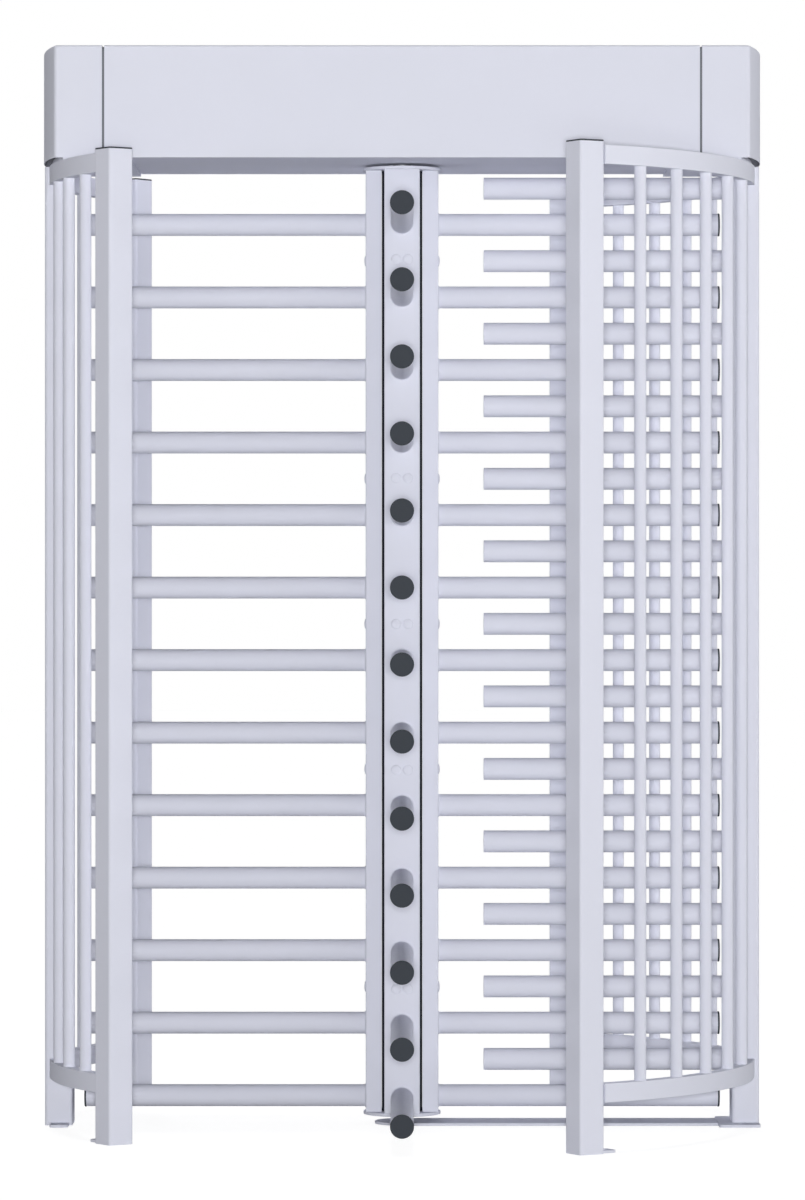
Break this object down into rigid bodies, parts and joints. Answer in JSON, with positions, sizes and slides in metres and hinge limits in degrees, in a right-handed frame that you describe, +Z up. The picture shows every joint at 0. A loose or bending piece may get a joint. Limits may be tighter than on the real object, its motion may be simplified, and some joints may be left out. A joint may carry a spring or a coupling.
{
  "type": "full height turnstile",
  "caption": "Full height turnstile: a barred rotor turns between a fixed comb and curved barred screens under a canopy that holds its bearing, lock and damper.",
  "frame": {"origin": "on the floor, under the rotor's axis, which is the middle of the outline seen from above", "axes": "+Z up along the rotor's axis, +X from the rotor towards the comb and the leg that carries it, +Y towards the back; the front and the back are alike"},
  "size_m": [1.576, 1.4, 2.355],
  "materials": {
    "paint": "matte silver white powder coat",
    "dark_plastic": "matte",
    "steel": "machined",
    "zinc": "zinc plated",
    "bronze": "machined",
    "box_plastic": "matte"
  },
  "bodies": {
    "frame": {"leg_left": "paint", "leg_right": "paint", "head_plate_left": "paint", "head_plate_right": "paint", "foot_bar_left": "paint", "base_plate_right": "paint", "floor_rail": "paint", "post_front_left": "paint", "post_front_right": "paint", "post_back_left": "paint", "post_back_right": "paint", "post_cap_front_left": "dark_plastic", "post_cap_front_right": "dark_plastic", "post_cap_back_left": "dark_plastic", "post_cap_back_right": "dark_plastic", "screen_front_left": "paint", "screen_front_right": "paint", "screen_back_left": "paint", "screen_back_right": "paint", "comb_bar_01": "paint", "comb_bar_02": "paint", "comb_bar_03": "paint", "comb_bar_04": "paint", "comb_bar_05": "paint", "comb_bar_06": "paint", "comb_bar_07": "paint", "comb_bar_08": "paint", "comb_bar_09": "paint", "comb_bar_10": "paint", "comb_bar_11": "paint", "comb_bar_12": "paint", "comb_bar_13": "paint", "canopy_centre_cover": "paint", "canopy_end_cap_left": "paint", "canopy_end_cap_right": "paint", "canopy_pan": "paint", "header_beam_front": "zinc", "header_beam_back": "zinc", "mechanism_plate": "zinc", "control_box": "box_plastic", "bearing_housing": "steel", "top_bearing": "steel", "bottom_pivot": "steel", "damper_body": "zinc", "solenoid_front": "zinc", "solenoid_back": "zinc"},
    "rotor": {"wing_right": "paint", "wing_back": "paint", "wing_left": "paint", "wing_front": "paint", "rotor_core": "paint", "bottom_bush": "bronze", "rotor_shaft": "steel", "drive_gear": "steel", "lock_wheel": "steel"},
    "damper_pinion": {"damper_pinion": "steel"},
    "pawl_front": {"pawl_front": "steel"},
    "pawl_back": {"pawl_back": "steel"},
    "plunger_front": {"plunger_front": "steel"},
    "plunger_back": {"plunger_back": "steel"}
  },
  "joints": [
    {"name": "rotor_spin", "type": "hinge", "parent": "frame", "child": "rotor", "pos_m": [0, 0, 0.0287], "axis": [0, 0, 1], "continuous": true},
    {"name": "damper_pinion_spin", "type": "hinge", "parent": "frame", "child": "damper_pinion", "pos_m": [-0.096, 0, 2.25], "axis": [0, 0, 1], "continuous": true},
    {"name": "pawl_front_swing", "type": "hinge", "parent": "frame", "child": "pawl_front", "pos_m": [0.09, -0.124, 2.273], "axis": [0, 0, -1], "range_deg": [0, 8], "stiffness_Nm_per_rad": 1},
    {"name": "pawl_back_swing", "type": "hinge", "parent": "frame", "child": "pawl_back", "pos_m": [0.09, 0.124, 2.273], "axis": [0, 0, 1], "range_deg": [0, 8], "stiffness_Nm_per_rad": 1},
    {"name": "plunger_front_slide", "type": "slide", "parent": "frame", "child": "plunger_front", "axis": [0, -1, 0], "range_m": [0, 0.0056]},
    {"name": "plunger_back_slide", "type": "slide", "parent": "frame", "child": "plunger_back", "axis": [0, 1, 0], "range_m": [0, 0.0056]}
  ],
  "couplings": [
    {"joint": "damper_pinion_spin", "follows": "rotor_spin", "ratio": -3},
    {"joint": "plunger_front_slide", "follows": "pawl_front_swing", "m_per_rad": 0.03987},
    {"joint": "plunger_back_slide", "follows": "pawl_back_swing", "m_per_rad": 0.03987}
  ]
}
